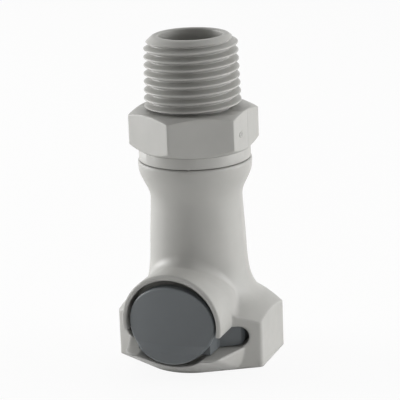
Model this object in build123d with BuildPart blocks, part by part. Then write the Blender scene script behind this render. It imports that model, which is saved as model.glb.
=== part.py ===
"""Plastic quick disconnect coupling body with a thumb latch, a shut-off valve and a pipe thread end.

Millimetres, +Z up. The origin is the centre of the mouth face, on the flow axis, and the part stands
on that face. The thumb pad faces -Y and the threaded end points up.
"""
from math import cos, radians, sqrt, tan
import os

from build123d import *

# ---- overall sizes ----
body_height = 45.0             # mouth face to the seam under the threaded end
termination_height = 27.5      # seam to the end of the pipe thread
base_half_width = 17.05        # axis to the two side faces of the six-sided base
base_corner_y = 7.6            # half the length of each side face
base_face_angle = 30.0         # slanted faces, measured from the latch direction
apex_round = 11.0              # rounding of the front and rear edges of the base
corner_round = 1.0             # rounding of the four side edges of the base

# ---- outer shape of the neck, from the shoulder of the base up ----
shoulder_slope = 35.0          # degrees from level
shoulder_radius = 14.3         # where the shoulder turns up into the neck
shoulder_z = 13.3
neck_foot_radius = 11.45
neck_foot_z = 18.4
neck_mid_radius = 10.75
neck_mid_z = 26.5
waist_radius = 10.2
waist_z = 36.0
rim_radius = 12.6
rim_z = 44.0

# ---- bore and valve seat inside the body ----
mouth_radius = 8.75            # takes the male insert
mouth_chamfer = 0.5
seat_z = 26.0
seat_radius = 6.2
seat_thickness = 1.6
seat_angle = 45.0
chamber_radius = 8.4           # valve chamber and seat of the spigot

# ---- thumb latch, its slot and its shroud ----
travel = 3.0                   # how far the latch is pressed
slot_floor = 5.0
slot_height = 4.95
slot_half_width = 14.6
slot_clearance = 0.25          # latch plate to slot, above, below and beside
latch_inset = 1.0              # latch wings behind the slanted faces
latch_neck_half_width = 8.4
latch_rear_radius = 11.3
latch_hole_radius = 9.0
latch_hole_offset = 2.7        # hole stands this far forward until the latch is pressed
pad_half_width = 9.84
pad_half_height = 8.64
pad_z = 12.06
pad_front = 19.5               # axis to the upper face of the pad
pad_lip = 0.75                 # how far the lower third stands out
pad_back = 16.8
pad_edge_round = 0.5
pad_curve_radius = 34.0
pocket_gap = 0.66              # pad to shroud at the sides
pocket_gap_top = 1.36          # pad to shroud above and below
pocket_depth_spare = 0.4       # pad back to pocket floor when fully pressed
shroud_wall = 0.95
shroud_top_wall = 1.2
shroud_front = 18.4
shroud_root = 2.0
shroud_fillet = 2.0            # hollow corner between shroud and neck
rim_round = 0.3

# ---- guard lip below the pad: a hull between two outlines ----
lip_root_y = 6.0
lip_root_half_width = 14.9
lip_top_side = (11.2, 17.2)
lip_top_corner = (10.3, 19.5)
lip_top_front = (8.6, 20.6)
lip_top_nose = 21.1
lip_bottom_side = (12.2, 10.1)
lip_bottom_corner = (10.75, 11.15)
lip_bottom_front = (9.2, 11.9)
lip_bottom_nose = 15.3

# ---- springs, pin and seals ----
wire_sides = 8                 # flats that stand for the round wire of both springs
latch_spring_radius = 1.8      # mean radius of the coil
latch_spring_wire = 0.5
latch_spring_turns = 5
latch_spring_z = 15.2
spring_seat_depth = 1.6
pin_radius = 0.8
pin_x = 11.8
pin_y = -3.4
pin_bottom = 0.5
pin_top = 12.4
fit_clearance = 0.05           # running and push fits, each side
static_clearance = 0.3         # curved faces that must not touch
seal_wire = 0.9                # half the thickness of the spigot seal
seal_squeeze_gap = 0.03        # each side of the seal
poppet_seal_wire = 0.6

# ---- threaded termination ----
collar_radius = 12.15
collar_height = 2.6
seam_height = 0.3
seam_depth = 0.6
hex_across_flats = 25.0
hex_height = 8.7
hex_turn = -2.4                # degrees, corner against the latch direction
hex_chamfer_angle = 30.0
relief_radius = 9.3
relief_height = 1.2
thread_major = 21.34           # over the crests where the thread meets the hexagon
thread_taper = 1.0 / 16.0      # on diameter
thread_depth = 1.45
top_bore_radius = 7.0
spigot_bore_radius = 6.2
spigot_length = 6.0
guide_seat_radius = 6.9
guide_seat_depth = 2.0
bore_flare_height = 4.0

# ---- valve ----
stem_radius = 1.5
nose_radius = 3.0
nose_drop = 7.0                # tip of the poppet below its head
poppet_rim = 1.2
guide_hub_radius = 2.8
guide_hub_length = 6.0
guide_ring_wall = 1.0
guide_spokes = 3
guide_spoke_width = 1.3
valve_spring_wire = 0.7
valve_spring_radius = 4.3
valve_spring_turns = 4

os.makedirs("parts", exist_ok=True)

# ---- sizes worked out from the values above ----
apex_y = base_corner_y + base_half_width * tan(radians(base_face_angle))
slot_round = slot_height / 2 - 0.02
slot_mid = slot_floor + slot_height / 2
pocket_half_width = pad_half_width + pocket_gap
pocket_half_height = pad_half_height + pocket_gap_top
shroud_half_width = pocket_half_width + shroud_wall
shroud_half_height = pocket_half_height + shroud_top_wall
pocket_floor = pad_back - travel - pocket_depth_spare
plate_thickness = slot_height - 2 * slot_clearance
plate_bottom = slot_floor + slot_clearance
wing_half_width = slot_half_width - slot_clearance - 0.1
wing_apex = apex_y - latch_inset / cos(radians(base_face_angle))
wing_slope = tan(radians(base_face_angle))
shoulder_foot = base_half_width * 1.2
shoulder_foot_z = shoulder_z - (shoulder_foot - shoulder_radius) * tan(radians(shoulder_slope))
seat_top = seat_z + seat_thickness
chamber_z = seat_top + (chamber_radius - seat_radius) * tan(radians(seat_angle))
spigot_z = body_height - spigot_length
guide_shoulder = spigot_z + guide_seat_depth
total_height = body_height + termination_height


# ---- body: base, neck, shroud and guard lip in one moulding ----
with BuildPart() as body:
    with BuildSketch(Plane.XZ):
        with BuildLine():
            Polyline((0, 0), (shoulder_foot, 0), (shoulder_foot, shoulder_foot_z),
                                (shoulder_radius, shoulder_z))
            Spline((shoulder_radius, shoulder_z), (neck_foot_radius, neck_foot_z),
                   (neck_mid_radius, neck_mid_z), (waist_radius, waist_z), tangents=[(-1, 0.8), (-0.04, 1)])
            Spline((waist_radius, waist_z), (rim_radius, rim_z), tangents=[(-0.04, 1), (0, 1)])
            Polyline((rim_radius, rim_z), (rim_radius, body_height), (0, body_height), (0, 0))
        make_face()
    revolve(axis=Axis.Z)
    with BuildSketch(Plane.XY):
        Polygon((base_half_width, base_corner_y), (0, apex_y), (-base_half_width, base_corner_y),
                (-base_half_width, -base_corner_y), (0, -apex_y), (base_half_width, -base_corner_y),
                align=None)
    extrude(amount=body_height, mode=Mode.INTERSECT)
    base_edges = body.edges().filter_by(Axis.Z).sort_by(Axis.Y)
    fillet([base_edges[0], base_edges[-1]], apex_round)
    side_edges = body.edges().filter_by(Axis.Z).filter_by(lambda e: abs(e.center().X) > base_half_width * 0.99)
    fillet(side_edges, corner_round)

    # shroud that rings the thumb pad, running back into the neck
    with BuildSketch(Plane.XZ.offset(shroud_root)):
        with Locations((0, pad_z)):
            Ellipse(shroud_half_width, shroud_half_height)
        with Locations((0, slot_floor)):
            Rectangle(4 * base_half_width, 2 * slot_height, mode=Mode.SUBTRACT)
    extrude(amount=shroud_front - shroud_root)
    neck_seam = body.edges(Select.LAST).filter_by(GeomType.BSPLINE).sort_by(SortBy.LENGTH)[-1]
    fillet(neck_seam, shroud_fillet)

    # guard lip under the pad
    with BuildSketch(Plane.XY):
        with BuildLine():
            Polyline((-lip_bottom_side[0], -lip_bottom_side[1]), (-lip_root_half_width, -lip_root_y),
                     (lip_root_half_width, -lip_root_y), (lip_bottom_side[0], -lip_bottom_side[1]))
            for side in (1, -1):
                ThreePointArc((side * lip_bottom_side[0], -lip_bottom_side[1]),
                              (side * lip_bottom_corner[0], -lip_bottom_corner[1]),
                              (side * lip_bottom_front[0], -lip_bottom_front[1]))
            ThreePointArc((lip_bottom_front[0], -lip_bottom_front[1]), (0, -lip_bottom_nose),
                          (-lip_bottom_front[0], -lip_bottom_front[1]))
        make_face()
    with BuildSketch(Plane.XY.offset(slot_floor)):
        with BuildLine():
            Polyline((-lip_top_side[0], -lip_top_side[1]), (-lip_root_half_width, -lip_root_y),
                     (lip_root_half_width, -lip_root_y), (lip_top_side[0], -lip_top_side[1]))
            for side in (1, -1):
                ThreePointArc((side * lip_top_side[0], -lip_top_side[1]),
                              (side * lip_top_corner[0], -lip_top_corner[1]),
                              (side * lip_top_front[0], -lip_top_front[1]))
            ThreePointArc((lip_top_front[0], -lip_top_front[1]), (0, -lip_top_nose),
                          (-lip_top_front[0], -lip_top_front[1]))
        make_face()
    loft(ruled=True)

    # pocket behind and around the pad
    with BuildSketch(Plane.XZ.offset(pocket_floor)):
        with Locations((0, pad_z)):
            Ellipse(pocket_half_width, pocket_half_height)
    extrude(amount=2 * shroud_front, mode=Mode.SUBTRACT)

    # slot for the latch plate: straight from the front, round at the rear
    with BuildSketch(Plane.XZ.offset(-travel / 2)):
        with Locations((0, slot_mid)):
            RectangleRounded(2 * slot_half_width, slot_height, slot_round)
    extrude(amount=2 * shroud_front, mode=Mode.SUBTRACT)
    with BuildSketch(Plane.XY.offset(slot_floor)):
        with Locations((0, travel)):
            Circle(latch_rear_radius + static_clearance)
    extrude(amount=slot_height, mode=Mode.SUBTRACT)

    # mouth, valve seat and valve chamber
    with BuildSketch(Plane.XZ):
        Polygon((0, 0), (mouth_radius + mouth_chamfer, 0), (mouth_radius, mouth_chamfer),
                (mouth_radius, seat_z), (seat_radius, seat_z), (seat_radius, seat_top),
                (chamber_radius, chamber_z), (chamber_radius, body_height), (0, body_height), align=None)
    revolve(axis=Axis.Z, mode=Mode.SUBTRACT)

    # blind seat of the latch spring and the hole of the retaining pin
    with BuildSketch(Plane.XZ.offset(pocket_floor - spring_seat_depth)):
        with Locations((0, latch_spring_z)):
            Circle(latch_spring_radius + latch_spring_wire / 2 + static_clearance)
    extrude(amount=spring_seat_depth, mode=Mode.SUBTRACT)
    with BuildSketch(Plane.XY):
        with Locations((pin_x, pin_y)):
            Circle(pin_radius)
    extrude(amount=pin_top, mode=Mode.SUBTRACT)

    # softened rims of the shroud and of the seam end
    shroud_rim = body.edges().filter_by(GeomType.ELLIPSE).filter_by(lambda e: abs(e.center().Y + shroud_front) < 0.01)
    seam_rim = body.edges().filter_by(GeomType.CIRCLE).group_by(Axis.Z)[-1].sort_by(SortBy.LENGTH)[-1]
    fillet(shroud_rim + [seam_rim], rim_round)
body.part.label = "body"
export_step(body.part, "parts/body.step")


# ---- thumb latch: pad, neck and sliding plate in one moulding ----
with BuildPart() as thumb_pad:
    with BuildSketch(Plane.XZ.offset(pad_back)):
        with Locations((0, pad_z)):
            Ellipse(pad_half_width, pad_half_height)
    extrude(amount=pad_front)
    pad_axis_y = pad_curve_radius - pad_front
    band_z = pad_z - pad_half_height / 2
    lip_z = pad_z - pad_half_height * 0.68
    with BuildSketch(Plane.YZ):
        Polygon((pad_axis_y, -pad_z), (-pad_front - pad_lip + 0.4, -pad_z), (-pad_front - pad_lip, lip_z),
                (-pad_front, band_z), (-pad_front + 0.15, 3 * pad_z), (pad_axis_y, 3 * pad_z), align=None)
    revolve(axis=Axis((0, pad_axis_y, 0), (0, 0, 1)), mode=Mode.INTERSECT)
    fillet(thumb_pad.edges().filter_by(lambda e: e.bounding_box().max.Y < -pad_back - 0.3), pad_edge_round)

with BuildPart() as thumb_latch:
    with BuildSketch(Plane.XY.offset(plate_bottom)):
        Circle(latch_rear_radius)
        Polygon((wing_half_width, -travel / 2), (wing_half_width, wing_slope * wing_half_width - wing_apex),
                (latch_neck_half_width, wing_slope * latch_neck_half_width - wing_apex),
                (latch_neck_half_width, -pad_back - 0.2), (-latch_neck_half_width, -pad_back - 0.2),
                (-latch_neck_half_width, wing_slope * latch_neck_half_width - wing_apex),
                (-wing_half_width, wing_slope * wing_half_width - wing_apex),
                (-wing_half_width, -travel / 2), align=None)
        with Locations((0, -latch_hole_offset)):
            Circle(latch_hole_radius, mode=Mode.SUBTRACT)
        with Locations((pin_x, pin_y - travel / 2)):
            SlotCenterToCenter(travel, 2 * (pin_radius + fit_clearance), rotation=90, mode=Mode.SUBTRACT)
    extrude(amount=plate_thickness)
    with BuildSketch(Plane.XZ):
        with Locations((0, slot_mid)):
            RectangleRounded(2 * wing_half_width, plate_thickness, slot_round - slot_clearance)
    extrude(amount=2 * pad_front, both=True, mode=Mode.INTERSECT)
    add(thumb_pad.part)
    with BuildSketch(Plane.XZ.offset(pad_back - spring_seat_depth)):
        with Locations((0, latch_spring_z)):
            Circle(latch_spring_radius - latch_spring_wire / 2 - static_clearance)
    extrude(amount=spring_seat_depth)
thumb_latch.part.label = "thumb_latch"
export_step(thumb_latch.part, "parts/thumb_latch.step")


# ---- retaining pin: keeps the latch in its slot ----
with BuildPart() as latch_pin:
    with BuildSketch(Plane.XY.offset(pin_bottom)):
        with Locations((pin_x, pin_y)):
            Circle(pin_radius)
    extrude(amount=pin_top - pin_bottom)
    chamfer(latch_pin.edges().filter_by(GeomType.CIRCLE), pin_radius / 4)
latch_pin.part.label = "latch_pin"
export_step(latch_pin.part, "parts/latch_pin.step")


# ---- latch spring: from the floor of its seat to the back of the pad ----
latch_spring_start = pocket_floor - spring_seat_depth + latch_spring_wire / 2
latch_spring_length = pad_back - latch_spring_start - latch_spring_wire / 2
with BuildPart() as latch_spring:
    with BuildLine():
        coil = Helix(latch_spring_length / latch_spring_turns, latch_spring_length, latch_spring_radius,
                     center=(0, -latch_spring_start, latch_spring_z), direction=(0, -1, 0))
    with BuildSketch(Plane(origin=coil @ 0, z_dir=coil % 0)):
        RegularPolygon(latch_spring_wire / 2, wire_sides)
    sweep(path=coil)
latch_spring.part.label = "latch_spring"
export_step(latch_spring.part, "parts/latch_spring.step")


# ---- threaded termination: spigot, collar, hexagon and tapered pipe end in one moulding ----
hex_bottom = body_height + collar_height
hex_top = hex_bottom + hex_height
thread_bottom = hex_top + relief_height
hex_corner = hex_across_flats / sqrt(3)
hex_drop = (hex_corner - hex_across_flats / 2) * tan(radians(hex_chamfer_angle)) + 0.6
hex_end_radius = hex_corner - hex_drop / tan(radians(hex_chamfer_angle))
root_bottom = thread_major / 2 - thread_depth
root_top = root_bottom - (total_height - thread_bottom) * thread_taper / 2
groove_z = guide_shoulder + 0.6
groove_height = 2 * seal_wire + 0.4
groove_radius = chamber_radius - 2 * seal_wire - 2 * seal_squeeze_gap
with BuildPart() as threaded_termination:
    with BuildSketch(Plane.XZ):
        Polygon((0, hex_bottom), (hex_end_radius, hex_bottom), (hex_corner, hex_bottom + hex_drop),
                (hex_corner, hex_top - hex_drop), (hex_end_radius, hex_top), (0, hex_top), align=None)
    revolve(axis=Axis.Z)
    with BuildSketch(Plane.XY.offset(hex_bottom)):
        RegularPolygon(hex_corner, 6, rotation=90 + hex_turn)
    extrude(amount=hex_height, mode=Mode.INTERSECT)
    with BuildSketch(Plane.XZ):
        Polygon((0, spigot_z), (chamber_radius - fit_clearance - 0.5, spigot_z),
                (chamber_radius - fit_clearance, spigot_z + 0.5),
                (chamber_radius - fit_clearance, groove_z), (groove_radius, groove_z),
                (groove_radius, groove_z + groove_height),
                (chamber_radius - fit_clearance, groove_z + groove_height),
                (chamber_radius - fit_clearance, body_height),
                (collar_radius - seam_depth, body_height),
                (collar_radius - seam_depth, body_height + seam_height),
                (collar_radius, body_height + seam_height), (collar_radius, hex_bottom),
                (hex_end_radius, hex_bottom), (hex_end_radius, hex_top), (relief_radius, hex_top),
                (relief_radius, thread_bottom), (root_bottom, thread_bottom),
                (root_top, total_height), (0, total_height), align=None)
    revolve(axis=Axis.Z)
    with BuildSketch(Plane.XZ):
        Polygon((0, spigot_z), (guide_seat_radius, spigot_z), (guide_seat_radius, guide_shoulder),
                (spigot_bore_radius, guide_shoulder), (spigot_bore_radius, body_height + collar_height),
                (top_bore_radius, body_height + collar_height + bore_flare_height),
                (top_bore_radius, total_height - 0.4), (top_bore_radius + 0.3, total_height),
                (0, total_height), align=None)
    revolve(axis=Axis.Z, mode=Mode.SUBTRACT)
threaded_termination.part.label = "threaded_termination"
export_step(threaded_termination.part, "parts/threaded_termination.step")


# ---- seal ring in the groove of the spigot ----
with BuildPart() as termination_seal:
    with BuildSketch(Plane.XZ):
        with Locations((groove_radius + seal_squeeze_gap + seal_wire, groove_z + groove_height / 2)):
            Circle(seal_wire)
    revolve(axis=Axis.Z)
termination_seal.part.label = "termination_seal"
export_step(termination_seal.part, "parts/termination_seal.step")


# ---- valve guide: ring, spokes and hub that carry the poppet's stem ----
with BuildPart() as valve_guide:
    guide_radius = guide_seat_radius - fit_clearance
    with BuildSketch(Plane.XY.offset(spigot_z)):
        Circle(guide_radius)
        Circle(guide_radius - guide_ring_wall, mode=Mode.SUBTRACT)
        with PolarLocations(guide_radius / 2, guide_spokes):
            Rectangle(guide_radius, guide_spoke_width)
    extrude(amount=guide_seat_depth)
    with BuildSketch(Plane.XY.offset(spigot_z)):
        Circle(guide_hub_radius)
    extrude(amount=guide_hub_length)
    with BuildSketch(Plane.XY.offset(spigot_z)):
        Circle(stem_radius + fit_clearance)
    extrude(amount=guide_hub_length, mode=Mode.SUBTRACT)
valve_guide.part.label = "valve_guide"
export_step(valve_guide.part, "parts/valve_guide.step")


# ---- valve poppet: head on the seat, stem up through the guide, nose down to the insert ----
seal_centre_radius = seat_radius + 0.55
head_z = seat_top + (seal_centre_radius - seat_radius) * tan(radians(seat_angle))
head_radius = seal_centre_radius
head_top = head_z + poppet_rim + 2 * poppet_seal_wire
stem_top = spigot_z + guide_hub_length + 1.0
nose_tip = seat_z - nose_drop
with BuildPart() as valve_poppet:
    with BuildSketch(Plane.XZ):
        Polygon((0, nose_tip), (nose_radius - 0.6, nose_tip), (nose_radius, nose_tip + 0.6),
                (nose_radius, seat_z - 1), (seat_radius - 1.0, seat_z), (seat_radius - 1.0, head_z + 0.9),
                (head_radius, head_z + 0.9 + 2 * poppet_seal_wire),
                (head_radius, head_top), (stem_radius + 1.5, head_top), (stem_radius, head_top + 1.5),
                (stem_radius, stem_top), (0, stem_top), align=None)
    revolve(axis=Axis.Z)
    with BuildSketch(Plane.XY.offset(nose_tip)):
        with PolarLocations(nose_radius, 4):
            Circle(nose_radius * 0.45)
    extrude(amount=nose_drop - 1.5, mode=Mode.SUBTRACT)
valve_poppet.part.label = "valve_poppet"
export_step(valve_poppet.part, "parts/valve_poppet.step")


# ---- poppet seal: ring under the rim of the head ----
with BuildPart() as poppet_seal:
    with BuildSketch(Plane.XZ):
        with Locations((seat_radius - 1.0 + poppet_seal_wire, head_z + 0.2)):
            Circle(poppet_seal_wire)
    revolve(axis=Axis.Z)
poppet_seal.part.label = "poppet_seal"
export_step(poppet_seal.part, "parts/poppet_seal.step")


# ---- valve spring: between the poppet's head and the guide ----
valve_spring_start = head_top + valve_spring_wire / 2
valve_spring_length = spigot_z - valve_spring_wire / 2 - valve_spring_start
with BuildPart() as valve_spring:
    with BuildLine(Plane.XY.offset(valve_spring_start)):
        valve_coil = Helix(valve_spring_length / valve_spring_turns, valve_spring_length, valve_spring_radius)
    with BuildSketch(Plane(origin=valve_coil @ 0, z_dir=valve_coil % 0)):
        RegularPolygon(valve_spring_wire / 2, wire_sides)
    sweep(path=valve_coil)
valve_spring.part.label = "valve_spring"
export_step(valve_spring.part, "parts/valve_spring.step")
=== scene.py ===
"""Looks for the quick disconnect coupling: thread, hexagon, latch, springs, materials, light and camera."""
import math

import bmesh
import bpy
from mathutils import Matrix, Vector


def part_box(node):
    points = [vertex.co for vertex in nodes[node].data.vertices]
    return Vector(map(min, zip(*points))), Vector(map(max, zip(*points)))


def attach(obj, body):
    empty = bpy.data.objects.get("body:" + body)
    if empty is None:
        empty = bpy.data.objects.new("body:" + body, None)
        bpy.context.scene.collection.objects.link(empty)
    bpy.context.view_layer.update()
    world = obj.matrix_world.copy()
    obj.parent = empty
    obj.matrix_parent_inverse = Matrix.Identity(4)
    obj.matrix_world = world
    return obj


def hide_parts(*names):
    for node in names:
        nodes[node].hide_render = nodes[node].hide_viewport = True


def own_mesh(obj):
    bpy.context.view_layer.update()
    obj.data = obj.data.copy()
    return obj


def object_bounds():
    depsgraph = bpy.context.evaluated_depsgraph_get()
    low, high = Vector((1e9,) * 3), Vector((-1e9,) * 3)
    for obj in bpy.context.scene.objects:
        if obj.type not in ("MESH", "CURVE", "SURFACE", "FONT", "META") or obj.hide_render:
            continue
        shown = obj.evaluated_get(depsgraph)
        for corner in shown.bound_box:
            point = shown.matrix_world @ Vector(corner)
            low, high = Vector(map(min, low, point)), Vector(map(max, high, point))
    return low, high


MM = 0.001
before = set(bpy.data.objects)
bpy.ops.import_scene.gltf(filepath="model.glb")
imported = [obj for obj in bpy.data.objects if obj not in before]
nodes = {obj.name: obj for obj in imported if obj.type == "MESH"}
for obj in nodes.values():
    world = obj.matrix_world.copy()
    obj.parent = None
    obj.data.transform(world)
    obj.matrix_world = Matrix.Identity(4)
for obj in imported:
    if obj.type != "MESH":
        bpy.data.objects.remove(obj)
cad_low, cad_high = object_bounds()

# ---------------------------------------------------------------- sizes, in millimetres
# Pipe thread, 14 turns to the inch
PITCH = 25.4 / 14
THREAD_MAJOR = 10.72          # radius over the crests at the large end
THREAD_TAPER = 1 / 32         # radius lost for each millimetre up
THREAD_DEPTH = 1.55
THREAD_PHASE = 0.136          # share of a turn by which the whole thread is set round
ROOT_SHARE = 0.10             # share of half a pitch that is flat root
FLANK_SHARE = 0.78            # share of half a pitch that is flank; the crest has the rest
FLANK_CURVE = 0.65            # how far a flank is S-shaped, from 0 for straight to 1
RUNOUT = 0.2                  # length over which the lowest turn fades
UNDERCUT = 0.6                # gap between the hexagon and the lowest turn
THREAD_STEPS = 200            # round the axis
THREAD_ROWS = 24              # along one turn of the thread

# Rim and bore of the pipe end
LEAD_RADIUS = 8.3             # radius of the top rim before it is rounded
LEAD_SLOPE = 1.1              # radius gained for each millimetre down the lead chamfer
RIM_ROUND = 0.4
RIM_STEPS = 6
BORE_RADIUS = 7.0
SKIN_DEPTH = 13.0             # how far down the bore the threaded skin reaches
SKIN_ROWS = (2.0, 6.0, SKIN_DEPTH)    # depths of the rows of points on the bore
SKIN_STEP = 0.6               # how far its inside steps out below that, hidden by the moulding

# Hexagon and collar
HEX_ACROSS_FLATS = 25.0
HEX_HEIGHT = 8.7
HEX_TURN = math.radians(-2.4)              # from +X to the middle of a flat
HEX_LOW_SLOPE = math.tan(math.radians(30))     # rise of the lower cone over its radius gained
HEX_TOP_SLOPE = math.tan(math.radians(22))     # rise of the upper cone over its radius lost
HEX_LOW_INSET = 0.05          # how far inside the collar the lower cone starts
HEX_EDGE = 0.35               # rounding of the hexagon's corners
HEX_ROWS = 56
PARTING_LINE = 0.06           # depth of the moulding's parting line
PARTING_REACH = 0.005         # radians that the line takes up on each side of the X axis
GATE_PLACE = (-3.3, 4.0)      # gate mark: along a flat from its middle, and above the hexagon's foot
GATE_STRETCH = 1.7            # width of the gate mark over its height
GATE_STEPS = 24
COLLAR_RADIUS = 12.35
COLLAR_HEIGHT = 2.6
COLLAR_EDGE = 0.04            # how far the collar's lower edge is cut back
SEAM_FLOOR = 0.02             # foot of the groove under the collar, above the seam
SEAM_ROOF = 0.2               # top of the groove, above the seam
SEAM_DEPTH = 1.8              # how far the groove goes in
SEAM_BEAD = math.radians(-76)     # where a bead of plastic fills the groove
BEAD_DEPTH = 0.08             # how far the bead lies inside the collar
BEAD_REACH = math.radians(1)  # on each side of the bead's middle
TURN_STEPS = 288              # round the axis, on the hexagon and collar
CRISP_ANGLE = 28              # degrees; sharper edges stay edges

# Neck, bore and spigot of the threaded termination
RELIEF_RADIUS = 8.4           # neck in the undercut
CORE_RADIUS = 8.0             # outside of the neck where the threaded skin covers it
BORE_CONE_TOP = 6.6           # the bore narrows between these two heights above the seam
BORE_CONE_FOOT = 2.6
SPIGOT_DROP = 6.0             # spigot below the seam
SPIGOT_RADIUS = 8.3
SPIGOT_BORE = 6.2
GUIDE_SEAT_RADIUS = 6.9
GUIDE_SEAT_DROP = 4.0         # seat of the valve guide, below the seam

# Latch and springs
WING_KEEP = 12.7              # half-width of the latch plate that stays as it is
WING_SHRINK = 0.36            # scale of the rest, so that each wing ends short of the slot's round end
CLOSED_TURNS = 0.75           # turns at each end of a spring that lie nearly flat
CLOSED_PITCH = 0.12           # their rise for one turn, as a share of the wire
COIL_STEPS = 28               # along one turn
COIL_SIDES = 12               # round the wire
Y, Z = 1, 2

top_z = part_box("threaded_termination")[1].z / MM
seam_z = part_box("body")[1].z / MM
hex_low = seam_z + COLLAR_HEIGHT
hex_top = hex_low + HEX_HEIGHT
thread_low = hex_top + UNDERCUT


# ---------------------------------------------------------------- small mesh helpers
def piece_from(name, vertices, faces, body):
    """A smooth mesh piece in metres, from points in millimetres, riding on a CAD body."""
    mesh = bpy.data.meshes.new(name)
    mesh.from_pydata([tuple(c * MM for c in v) for v in vertices], [], faces)
    mesh.update()
    bm = bmesh.new()
    bm.from_mesh(mesh)
    bmesh.ops.remove_doubles(bm, verts=bm.verts, dist=1e-7)
    bmesh.ops.dissolve_degenerate(bm, edges=bm.edges, dist=1e-8)
    bmesh.ops.recalc_face_normals(bm, faces=bm.faces)
    bm.to_mesh(mesh)
    bm.free()
    mesh.shade_smooth()
    piece = bpy.data.objects.new(name, mesh)
    bpy.context.scene.collection.objects.link(piece)
    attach(piece, body)
    return piece


def tube_faces(rows, columns, closed):
    """Quads between rows of points round a tube; a closed tube also joins its last row to its first."""
    faces = []
    for i in range(rows if closed else rows - 1):
        this_row = i * columns
        next_row = (i + 1) % rows * columns
        for j in range(columns):
            k = (j + 1) % columns
            faces.append((this_row + j, this_row + k, next_row + k, next_row + j))
    return faces


def ring(radius, z, steps):
    """One row of points round the axis, with a radius that may depend on the angle."""
    angles = [2 * math.pi * j / steps for j in range(steps)]
    radii = [radius(a) if callable(radius) else radius for a in angles]
    return [(r * math.cos(a), r * math.sin(a), z) for r, a in zip(radii, angles)]


# ---------------------------------------------------------------- pipe thread
def ridge(phase):
    """Height of the thread form along one pitch, from 0 at the root to 1 at the crest."""
    wave = abs(2 * (phase % 1.0) - 1)
    straight = min(1.0, max(0.0, (wave - ROOT_SHARE) / FLANK_SHARE))
    curved = straight * straight * (3 - 2 * straight)
    return (1 - FLANK_CURVE) * straight + FLANK_CURVE * curved


def thread_radius(angle, z):
    """Outer radius of the threaded end at an angle and a height."""
    crest = THREAD_MAJOR - (z - thread_low) * THREAD_TAPER
    height = THREAD_DEPTH * ridge((z - top_z) / PITCH - angle / (2 * math.pi) + THREAD_PHASE)
    fade = min(1.0, max(0.0, (z - thread_low) / RUNOUT))
    thread = crest - THREAD_DEPTH + height * fade
    below = top_z - z
    lead = LEAD_RADIUS + below * LEAD_SLOPE
    inside = max(0.0, RIM_ROUND - below)
    return min(thread, lead) - RIM_ROUND + math.sqrt(RIM_ROUND ** 2 - inside ** 2)


def helical_skin():
    """Points and quads of the thread, in rows that climb with it, so that its crests stay smooth."""
    step = PITCH / THREAD_ROWS
    rows = int((top_z - thread_low) / step) + THREAD_ROWS + 2
    vertices = []
    for i in range(rows + 1):
        for j in range(THREAD_STEPS):
            angle = 2 * math.pi * j / THREAD_STEPS
            climb = thread_low - PITCH + i * step + PITCH * j / THREAD_STEPS
            z = min(max(climb, thread_low), top_z)
            r = thread_radius(angle, z)
            vertices.append((r * math.cos(angle), r * math.sin(angle), z))

    def index(i, j):
        """A point's number; past the last column, a row goes on as the row one turn higher."""
        if j == THREAD_STEPS:
            return min(i + THREAD_ROWS, rows) * THREAD_STEPS
        return i * THREAD_STEPS + j

    faces = [(index(i, j), index(i, j + 1), index(i + 1, j + 1), index(i + 1, j))
             for i in range(rows) for j in range(THREAD_STEPS)]
    return vertices, faces


def pipe_thread():
    """The threaded skin of the pipe end, with its lead chamfer, rounded top rim and bore mouth."""
    vertices, faces = helical_skin()
    rows = [ring(lambda a: thread_radius(a, top_z), top_z, THREAD_STEPS)]
    for k in range(1, RIM_STEPS + 1):
        turn = math.pi / 2 * k / RIM_STEPS
        radius = BORE_RADIUS + RIM_ROUND * (1 - math.sin(turn))
        rows.append(ring(radius, top_z - RIM_ROUND * (1 - math.cos(turn)), THREAD_STEPS))
    for depth in SKIN_ROWS:
        rows.append(ring(BORE_RADIUS, top_z - depth, THREAD_STEPS))
    rows.append(ring(BORE_RADIUS + SKIN_STEP, top_z - SKIN_DEPTH - SKIN_STEP / 2, THREAD_STEPS))
    rows.append(ring(BORE_RADIUS + SKIN_STEP, thread_low, THREAD_STEPS))
    rows.append(ring(lambda a: thread_radius(a, thread_low), thread_low, THREAD_STEPS))
    start = len(vertices)
    vertices += [v for row in rows for v in row]
    faces += [tuple(start + k for k in face) for face in tube_faces(len(rows), THREAD_STEPS, closed=False)]
    return piece_from("pipe_thread", vertices, faces, "root")


# ---------------------------------------------------------------- hexagon and collar
def soft_min(a, b, width):
    """The smaller of two radii, rounded over where they meet."""
    near = max(width - abs(a - b), 0.0) / width
    return min(a, b) - near * near * width / 4


def hex_radius(angle, z):
    """Radius of the hexagon at an angle and a height: flats, rounded corners, two cones, parting line."""
    flat = HEX_ACROSS_FLATS / 2
    off = (angle - HEX_TURN + math.pi / 6) % (math.pi / 3) - math.pi / 6
    corner = (flat - HEX_EDGE) / math.cos(math.pi / 6) + HEX_EDGE
    sides = min(flat / math.cos(off), corner)
    low = COLLAR_RADIUS - HEX_LOW_INSET + (z - hex_low) / HEX_LOW_SLOPE
    high = COLLAR_RADIUS + (hex_top - z) / HEX_TOP_SLOPE
    line = PARTING_LINE if abs(math.sin(angle)) < PARTING_REACH else 0.0
    return soft_min(sides, min(low, high), HEX_EDGE) - line


def seam_radius(angle):
    """Radius at the inner wall of the groove under the collar, which one small bead fills."""
    off = (angle - SEAM_BEAD + math.pi) % (2 * math.pi) - math.pi
    return COLLAR_RADIUS - (BEAD_DEPTH if abs(off) < BEAD_REACH else SEAM_DEPTH)


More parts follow.
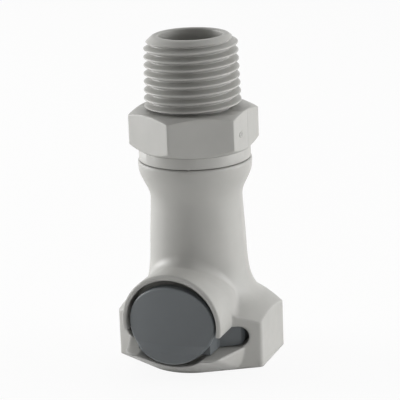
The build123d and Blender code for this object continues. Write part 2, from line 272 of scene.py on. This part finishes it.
def termination_shell():
    """Collar, hexagon, neck, bore and spigot of the threaded termination, as one closed moulding.

    Steps of under a millimetre in its outline are edge breaks, or overlaps that the thread hides.
    """
    roof = seam_z + SEAM_ROOF
    skin_foot = top_z - SKIN_DEPTH
    guide_seat = seam_z - GUIDE_SEAT_DROP
    spigot_foot = seam_z - SPIGOT_DROP
    outline = [(SPIGOT_RADIUS, spigot_foot), (SPIGOT_RADIUS, seam_z),
               (seam_radius, seam_z + SEAM_FLOOR), (seam_radius, roof),
               (COLLAR_RADIUS - COLLAR_EDGE, roof + 0.01), (COLLAR_RADIUS, roof + 0.06),
               (COLLAR_RADIUS, hex_low - 0.1)]
    for i in range(HEX_ROWS + 1):
        z = hex_low + HEX_HEIGHT * i / HEX_ROWS
        outline.append((lambda a, z=z: hex_radius(a, z), z))
    outline += [(RELIEF_RADIUS + 0.5, hex_top + 0.02), (RELIEF_RADIUS, hex_top - 0.1),
                (RELIEF_RADIUS, thread_low + 0.3), (CORE_RADIUS, thread_low + 0.6),
                (CORE_RADIUS, skin_foot - 0.2), (BORE_RADIUS, skin_foot - 0.1),
                (BORE_RADIUS, seam_z + BORE_CONE_TOP), (SPIGOT_BORE, seam_z + BORE_CONE_FOOT),
                (SPIGOT_BORE, guide_seat), (GUIDE_SEAT_RADIUS, guide_seat),
                (GUIDE_SEAT_RADIUS, spigot_foot)]
    vertices = [v for radius, z in outline for v in ring(radius, z, TURN_STEPS)]
    faces = tube_faces(len(outline), TURN_STEPS, closed=True)
    piece = piece_from("termination_shell", vertices, faces, "root")
    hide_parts("threaded_termination")
    crisp_edges = piece.modifiers.new("crisp_edges", "EDGE_SPLIT")
    crisp_edges.split_angle = math.radians(CRISP_ANGLE)
    return piece


def gate_dimple():
    """The small oval mark that the injection gate leaves on a side of the hexagon."""
    along, up = GATE_PLACE
    turn = Matrix.Rotation(HEX_TURN, 3, "Z")
    centre = turn @ Vector((HEX_ACROSS_FLATS / 2, along, hex_low + up))
    outline = [(0.0, 0.02), (0.26, 0.03), (0.40, 0.18), (0.50, 0.22), (0.60, 0.18), (0.70, -0.05)]
    vertices = []
    for radius, rise in outline:
        for j in range(GATE_STEPS):
            a = 2 * math.pi * j / GATE_STEPS
            offset = Vector((rise, GATE_STRETCH * radius * math.cos(a), radius * math.sin(a)))
            vertices.append(centre + turn @ offset)
    faces = tube_faces(len(outline), GATE_STEPS, closed=False)
    return piece_from("gate_dimple", vertices, faces, "root")


# ---------------------------------------------------------------- thumb latch
def latch_moulding():
    """The thumb latch with its wings ending short of the slot's round ends, as in the photograph."""
    source = nodes["thumb_latch"]
    mesh = source.data.copy()
    place = source.matrix_world.copy()
    for vertex in mesh.vertices:
        point = place @ vertex.co
        spare = abs(point.x) / MM - WING_KEEP
        if spare > 0:
            point.x = math.copysign((WING_KEEP + spare * WING_SHRINK) * MM, point.x)
            vertex.co = place.inverted() @ point
    piece = bpy.data.objects.new("latch_moulding", mesh)
    piece.matrix_world = place
    bpy.context.scene.collection.objects.link(piece)
    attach(piece, "latch")
    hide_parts("thumb_latch")
    return piece


# ---------------------------------------------------------------- wound springs
def coil_rise(turn, turns, wire, length):
    """Height of a coil's centre line after some turns: nearly flat at both ends, even between them."""
    closed_rise = CLOSED_PITCH * wire
    if turn < CLOSED_TURNS:
        return turn * closed_rise
    if turn > turns - CLOSED_TURNS:
        return length - (turns - turn) * closed_rise
    ends = CLOSED_TURNS * closed_rise
    return ends + (length - 2 * ends) * (turn - CLOSED_TURNS) / (turns - 2 * CLOSED_TURNS)


def coil_spring(name, node, axis, radius, wire, turns):
    """A closed-end coil of round wire that fills its CAD node's length along Y or Z."""
    low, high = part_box(node)
    start = low[axis] / MM + wire / 2
    length = high[axis] / MM - wire / 2 - start
    middle = (low + high) / 2 / MM
    first = Vector((1, 0, 0))
    second = Vector((0, 0, 1)) if axis == Y else Vector((0, 1, 0))
    along = Vector((0, 0, 0))
    along[axis] = 1
    total = int(turns * COIL_STEPS)
    centres = []
    for i in range(total + 1):
        turn = turns * i / total
        angle = 2 * math.pi * turn
        centre = middle.copy()
        centre[axis] = start + coil_rise(turn, turns, wire, length)
        centres.append(centre + first * radius * math.cos(angle) + second * radius * math.sin(angle))
    vertices = []
    for i, centre in enumerate(centres):
        ahead = (centres[min(i + 1, total)] - centres[max(i - 1, 0)]).normalized()
        out = ahead.cross(along).normalized()
        up = out.cross(ahead)
        for s in range(COIL_SIDES):
            a = 2 * math.pi * s / COIL_SIDES
            vertices.append(centre + (out * math.cos(a) + up * math.sin(a)) * wire / 2)
    faces = tube_faces(total + 1, COIL_SIDES, closed=False)
    faces.append(tuple(range(COIL_SIDES)))
    faces.append(tuple(total * COIL_SIDES + s for s in range(COIL_SIDES)))
    piece = piece_from(name, vertices, faces, "root")
    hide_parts(node)
    return piece


def compress(coil):
    """Gives a coil a mesh of its own; its length stays as wound."""
    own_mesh(coil)


# ---------------------------------------------------------------- materials
MIX_FACTOR, MIX_FIRST, MIX_SECOND, MIX_RESULT = 0, 6, 7, 2     # colour sockets of a Mix node


def new_material(name):
    """A node material, its tree and its principled shader."""
    material = bpy.data.materials.new(name)
    material.use_nodes = True
    tree = material.node_tree
    shader = next(n for n in tree.nodes if n.type == "BSDF_PRINCIPLED")
    return material, tree, shader


def add_node(tree, kind, **values):
    """A node with its named sockets or settings filled in."""
    node = tree.nodes.new(kind)
    for key, value in values.items():
        if key in node.inputs:
            node.inputs[key].default_value = value
        else:
            setattr(node, key, value)
    return node


def ramp(tree, source, low, high, dark, light):
    """A colour ramp between two colours, driven by a factor."""
    node = tree.nodes.new("ShaderNodeValToRGB")
    first, second = node.color_ramp.elements
    first.position, second.position = low, high
    first.color, second.color = dark, light
    tree.links.new(source, node.inputs["Fac"])
    return node.outputs["Color"]


def grey(value):
    """An opaque grey for a ramp."""
    return (value, value, value, 1)


def moulded_plastic(name, colour, edge_highlight_colour, roughness, grain, edge_width, painted_hollow_shade=1.0):
    """Satin moulded plastic: cloudy tint, fine grain and a painted highlight that makes its edges paler.

    Its last number, below 1, darkens its hollows with painted shade, as in a thread's roots.
    """
    material, tree, shader = new_material(name)
    links = tree.links
    place = add_node(tree, "ShaderNodeTexCoord").outputs["Object"]
    clouds = add_node(tree, "ShaderNodeTexNoise", Scale=90.0, Detail=3.0, Roughness=0.55)
    fine = add_node(tree, "ShaderNodeTexNoise", Scale=5200.0, Detail=2.0, Roughness=0.6)
    flow = add_node(tree, "ShaderNodeTexNoise", Scale=420.0, Detail=5.0, Roughness=0.6)
    for texture in (clouds, fine, flow):
        links.new(place, texture.inputs["Vector"])
    dark = tuple(c * 0.95 for c in colour) + (1,)
    light = tuple(c * 1.045 for c in colour) + (1,)
    tint = ramp(tree, clouds.outputs["Fac"], 0.32, 0.68, dark, light)

    rounded = add_node(tree, "ShaderNodeBevel", samples=6, Radius=edge_width)
    geometry = add_node(tree, "ShaderNodeNewGeometry")
    turn = add_node(tree, "ShaderNodeVectorMath", operation="DOT_PRODUCT")
    links.new(rounded.outputs["Normal"], turn.inputs[0])
    links.new(geometry.outputs["Normal"], turn.inputs[1])
    # painted highlight: on convex edges, where the rounded normal turns from the true one, the colour turns
    # paler
    edge = ramp(tree, turn.outputs["Value"], 0.90, 0.995, grey(0.75), grey(0.0))
    convex = ramp(tree, geometry.outputs["Pointiness"], 0.50, 0.56, grey(0.0), grey(0.8))
    both = add_node(tree, "ShaderNodeMath", operation="MULTIPLY")
    links.new(edge, both.inputs[0])
    links.new(convex, both.inputs[1])
    painted_edge_light = add_node(tree, "ShaderNodeMix", data_type="RGBA")
    painted_edge_light.inputs[MIX_SECOND].default_value = edge_highlight_colour + (1,)
    links.new(both.outputs[0], painted_edge_light.inputs[MIX_FACTOR])
    links.new(tint, painted_edge_light.inputs[MIX_FIRST])

    # painted shade: concave places, found by pointiness, are darkened as if in shadow
    shade = ramp(tree, geometry.outputs["Pointiness"], 0.40, 0.50, grey(painted_hollow_shade), grey(1.0))
    shaded = add_node(tree, "ShaderNodeMix", data_type="RGBA", blend_type="MULTIPLY")
    shaded.inputs[MIX_FACTOR].default_value = 1.0
    links.new(painted_edge_light.outputs[MIX_RESULT], shaded.inputs[MIX_FIRST])
    links.new(shade, shaded.inputs[MIX_SECOND])
    links.new(shaded.outputs[MIX_RESULT], shader.inputs["Base Color"])

    gloss = ramp(tree, flow.outputs["Fac"], 0.3, 0.7, grey(roughness - 0.05), grey(roughness + 0.07))
    links.new(gloss, shader.inputs["Roughness"])
    bump = add_node(tree, "ShaderNodeBump", Strength=grain, Distance=0.00002)
    links.new(fine.outputs["Fac"], bump.inputs["Height"])
    links.new(rounded.outputs["Normal"], bump.inputs["Normal"])
    links.new(bump.outputs["Normal"], shader.inputs["Normal"])
    shader.inputs["IOR"].default_value = 1.49
    shader.inputs["Specular IOR Level"].default_value = 0.45
    return material


def mottled(name, noise, span, colours, roughness, relief):
    """A finish whose colour, roughness and relief follow one noise, and its shader."""
    material, tree, shader = new_material(name)
    place = add_node(tree, "ShaderNodeTexCoord").outputs["Object"]
    texture = add_node(tree, "ShaderNodeTexNoise", Detail=4.0, **noise)
    tree.links.new(place, texture.inputs["Vector"])
    factor = texture.outputs["Fac"]
    dark, light = (colour + (1,) for colour in colours)
    tree.links.new(ramp(tree, factor, *span, dark, light), shader.inputs["Base Color"])
    smooth, rough = (grey(value) for value in roughness)
    tree.links.new(ramp(tree, factor, 0.3, 0.7, smooth, rough), shader.inputs["Roughness"])
    bump = add_node(tree, "ShaderNodeBump", **relief)
    tree.links.new(factor, bump.inputs["Height"])
    tree.links.new(bump.outputs["Normal"], shader.inputs["Normal"])
    return material, shader


def drawn_steel(name):
    """Drawn stainless wire: grey metal with a fine mottle."""
    material, shader = mottled(name, noise={"Scale": 2600.0, "Roughness": 0.7}, span=(0.3, 0.7),
                               colours=((0.50, 0.50, 0.51), (0.68, 0.68, 0.69)),
                               roughness=(0.24, 0.38), relief={"Strength": 0.15, "Distance": 0.00002})
    shader.inputs["Metallic"].default_value = 1.0
    return material


def seal_rubber(name):
    """Black moulded rubber with a dusty bloom."""
    material, _ = mottled(name, noise={"Scale": 700.0, "Roughness": 0.6}, span=(0.35, 0.75),
                          colours=((0.016, 0.016, 0.017), (0.038, 0.037, 0.036)),
                          roughness=(0.45, 0.62), relief={"Strength": 0.2, "Distance": 0.00003})
    return material


def paint(piece, material):
    """Gives a piece one material."""
    piece.data.materials.clear()
    piece.data.materials.append(material)


BODY_COLOUR = (0.402, 0.398, 0.380)
# each plastic's second colour is the painted highlight on its edges
body_plastic = moulded_plastic("body_plastic", BODY_COLOUR, (0.55, 0.545, 0.53),
                               roughness=0.46, grain=0.35, edge_width=0.0009)
# the thread's plastic paints shade into the thread's roots and its other hollows
thread_plastic = moulded_plastic("thread_plastic", BODY_COLOUR, (0.50, 0.495, 0.48),
                                 roughness=0.46, grain=0.30, edge_width=0.00002, painted_hollow_shade=0.35)
pad_plastic = moulded_plastic("latch_plastic", (0.114, 0.125, 0.132), (0.34, 0.37, 0.38),
                              roughness=0.38, grain=0.45, edge_width=0.0003)
valve_plastic = moulded_plastic("valve_plastic", (0.46, 0.45, 0.43), (0.6, 0.59, 0.57),
                                roughness=0.5, grain=0.35, edge_width=0.0002)
steel = drawn_steel("spring_steel")
rubber = seal_rubber("seal_rubber")


# ---------------------------------------------------------------- the pieces
for node, material in (("body", body_plastic), ("latch_pin", steel),
                       ("termination_seal", rubber), ("poppet_seal", rubber),
                       ("valve_guide", valve_plastic), ("valve_poppet", valve_plastic)):
    paint(nodes[node], material)

paint(pipe_thread(), thread_plastic)
paint(termination_shell(), thread_plastic)
paint(gate_dimple(), thread_plastic)
paint(latch_moulding(), pad_plastic)

latch_coil = coil_spring("latch_coil", "latch_spring", axis=Y, radius=1.8, wire=0.5, turns=5.5)
valve_coil = coil_spring("valve_coil", "valve_spring", axis=Z, radius=4.3, wire=0.7, turns=4.5)
paint(latch_coil, steel)
paint(valve_coil, steel)
compress(latch_coil)
compress(valve_coil)


# ---------------------------------------------------------------- camera, in metres
AIM = Vector((0.00068, 0.00027, 0.03500))
EYE = Vector((0.14112, -0.36065, 0.14508))
ROLL = math.radians(-2.23)
camera_data = bpy.data.cameras.new("camera")
camera_data.sensor_width = 36.0
camera_data.lens = 163.0
camera_data.clip_start = 0.01
camera = bpy.data.objects.new("camera", camera_data)
bpy.context.scene.collection.objects.link(camera)
gaze = (AIM - EYE).to_track_quat("-Z", "Y").to_matrix().to_4x4()
camera.matrix_world = Matrix.Translation(EYE) @ gaze @ Matrix.Rotation(ROLL, 4, "Z")
bpy.context.scene.camera = camera


# ---------------------------------------------------------------- floor, world and lamps
FLOOR_SIZE = 3.0
FLOOR_DROP = 0.0001                 # keeps the floor just clear of the object's foot
FLOOR_WHITE = 0.9                   # share of plain white in what is seen of the floor
DIM_SIDE = (0.33, -0.88, 0.34)      # direction in which the tent is dimmest, in front and above
TENT_BACK = 1.16                    # strength of the tent's light behind and beside the object
TENT_FRONT = 0.05                   # and on its dim side


def seen_directly(tree):
    """One for what the camera sees, straight or through a reflection or a clear wall, or else nought."""
    path = add_node(tree, "ShaderNodeLightPath")
    total = path.outputs["Is Camera Ray"]
    for name in ("Is Glossy Ray", "Is Transmission Ray"):
        larger = add_node(tree, "ShaderNodeMath", operation="MAXIMUM")
        tree.links.new(total, larger.inputs[0])
        tree.links.new(path.outputs[name], larger.inputs[1])
        total = larger.outputs[0]
    return total


def mix_shaders(tree, factor, first, second, output):
    """Sends a mix of two shaders to the output."""
    mix = add_node(tree, "ShaderNodeMixShader")
    tree.links.new(factor, mix.inputs[0])
    tree.links.new(first.outputs[0], mix.inputs[1])
    tree.links.new(second.outputs[0], mix.inputs[2])
    tree.links.new(mix.outputs[0], output.inputs["Surface"])


def floor():
    """A white floor that melts into the background and keeps the object's faint shadow."""
    bpy.ops.mesh.primitive_plane_add(size=FLOOR_SIZE, location=(0, 0, -FLOOR_DROP))
    plane = bpy.context.object
    plane.name = "floor"
    material, tree, shader = new_material("white_floor")
    shader.inputs["Base Color"].default_value = (0.86, 0.86, 0.86, 1)
    shader.inputs["Roughness"].default_value = 0.9
    shader.inputs["Specular IOR Level"].default_value = 0.1
    white = add_node(tree, "ShaderNodeEmission", Color=(1, 1, 1, 1), Strength=1.0)
    share = add_node(tree, "ShaderNodeMath", operation="MULTIPLY")
    share.inputs[1].default_value = FLOOR_WHITE
    tree.links.new(seen_directly(tree), share.inputs[0])
    output = next(n for n in tree.nodes if n.type == "OUTPUT_MATERIAL")
    mix_shaders(tree, share.outputs[0], shader, white, output)
    paint(plane, material)


def studio_world():
    """White where it is seen; as light, a tent bright behind and beside the object and dim in front."""
    world = bpy.data.worlds.new("studio")
    bpy.context.scene.world = world
    world.use_nodes = True
    tree = world.node_tree
    tree.nodes.clear()
    place = add_node(tree, "ShaderNodeTexCoord")
    facing = add_node(tree, "ShaderNodeVectorMath", operation="DOT_PRODUCT")
    facing.inputs[1].default_value = DIM_SIDE
    tree.links.new(place.outputs["Generated"], facing.inputs[0])
    tone = tree.nodes.new("ShaderNodeMapRange")
    tone.inputs["From Min"].default_value = -0.35
    tone.inputs["From Max"].default_value = 0.8
    tone.inputs["To Min"].default_value = TENT_BACK
    tone.inputs["To Max"].default_value = TENT_FRONT
    tree.links.new(facing.outputs["Value"], tone.inputs["Value"])
    tent = add_node(tree, "ShaderNodeBackground", Color=(1.0, 1.0, 0.985, 1))
    tree.links.new(tone.outputs["Result"], tent.inputs["Strength"])
    white = add_node(tree, "ShaderNodeBackground", Color=(1, 1, 1, 1), Strength=1.0)
    output = add_node(tree, "ShaderNodeOutputWorld")
    mix_shaders(tree, seen_directly(tree), tent, white, output)


def lamp(name, place, aim, power, size):
    """A square softbox in metres that looks at a point."""
    data = bpy.data.lights.new(name, "AREA")
    data.shape = "SQUARE"
    data.size = size
    data.energy = power
    made = bpy.data.objects.new(name, data)
    made.location = place
    made.rotation_euler = (Vector(aim) - Vector(place)).to_track_quat("-Z", "Y").to_euler()
    bpy.context.scene.collection.objects.link(made)


floor()
studio_world()
middle = (cad_low + cad_high) / 2
lamp("left_softbox", (-0.64, 0.02, 0.06), middle, power=5.8, size=0.40)
lamp("right_softbox", (0.62, 0.22, 0.06), middle, power=4.8, size=0.40)
lamp("floor_wash", (0.10, -0.26, 0.10), (0.10, -0.26, 0.0), power=0.24, size=0.20)

bpy.context.scene.view_settings.view_transform = "Standard"
